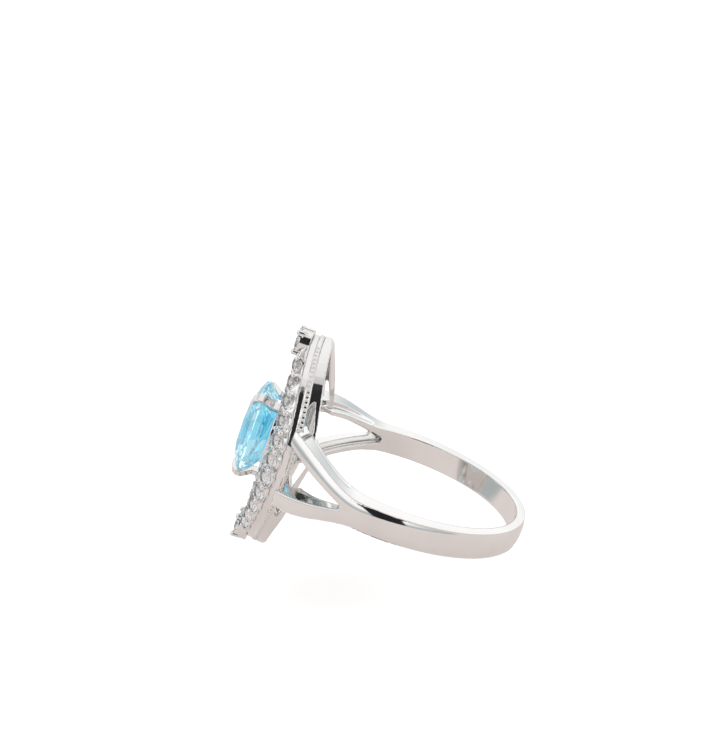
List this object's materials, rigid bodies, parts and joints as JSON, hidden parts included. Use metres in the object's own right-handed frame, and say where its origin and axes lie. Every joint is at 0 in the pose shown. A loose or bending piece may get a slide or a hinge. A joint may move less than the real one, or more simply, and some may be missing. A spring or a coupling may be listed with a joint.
{
  "type": "cocktail ring",
  "caption": "Cocktail ring with a split-shank band, boat-shaped open gallery, pointed-oval stone-set halo curved around the finger, and a raised oval centre stone in claws.",
  "frame": {"origin": "centre of the finger hole, on the band's middle plane", "axes": "+Y along the finger, +Z from the finger to the centre stone, +X across the finger"},
  "size_m": [0.0208, 0.0184, 0.0231],
  "materials": {
    "white_metal": "mirror-polished rhodium-plated white gold or silver",
    "blue_stone": "faceted, polished sky-blue gemstone",
    "white_stone": "faceted, polished colourless gemstone"
  },
  "bodies": {
    "root": {"shank": "white_metal", "gallery_yoke_north": "white_metal", "gallery_yoke_south": "white_metal", "gallery_skirt": "white_metal", "halo_plate": "white_metal", "center_basket": "white_metal", "claw_north_east": "white_metal", "claw_north_west": "white_metal", "claw_south_west": "white_metal", "claw_south_east": "white_metal", "tip_basket_north": "white_metal", "tip_basket_south": "white_metal", "center_stone": "blue_stone", "tip_stone_north": "white_stone", "tip_stone_south": "white_stone", "filler_stone_north": "white_stone", "filler_stone_south": "white_stone", "inner_stone_1": "white_stone", "inner_stone_2": "white_stone", "inner_stone_3": "white_stone", "inner_stone_4": "white_stone", "inner_stone_5": "white_stone", "inner_stone_6": "white_stone", "inner_stone_7": "white_stone", "inner_stone_8": "white_stone", "inner_stone_9": "white_stone", "inner_stone_10": "white_stone", "inner_stone_11": "white_stone", "inner_stone_12": "white_stone", "inner_stone_13": "white_stone", "inner_stone_14": "white_stone", "inner_stone_15": "white_stone", "inner_stone_16": "white_stone", "inner_stone_17": "white_stone", "inner_stone_18": "white_stone", "east_stone_1": "white_stone", "east_stone_2": "white_stone", "east_stone_3": "white_stone", "east_stone_4": "white_stone", "east_stone_5": "white_stone", "east_stone_6": "white_stone", "east_stone_7": "white_stone", "east_stone_8": "white_stone", "east_stone_9": "white_stone", "east_stone_10": "white_stone", "east_stone_11": "white_stone", "west_stone_1": "white_stone", "west_stone_2": "white_stone", "west_stone_3": "white_stone", "west_stone_4": "white_stone", "west_stone_5": "white_stone", "west_stone_6": "white_stone", "west_stone_7": "white_stone", "west_stone_8": "white_stone", "west_stone_9": "white_stone", "west_stone_10": "white_stone", "west_stone_11": "white_stone"}
  },
  "joints": []
}
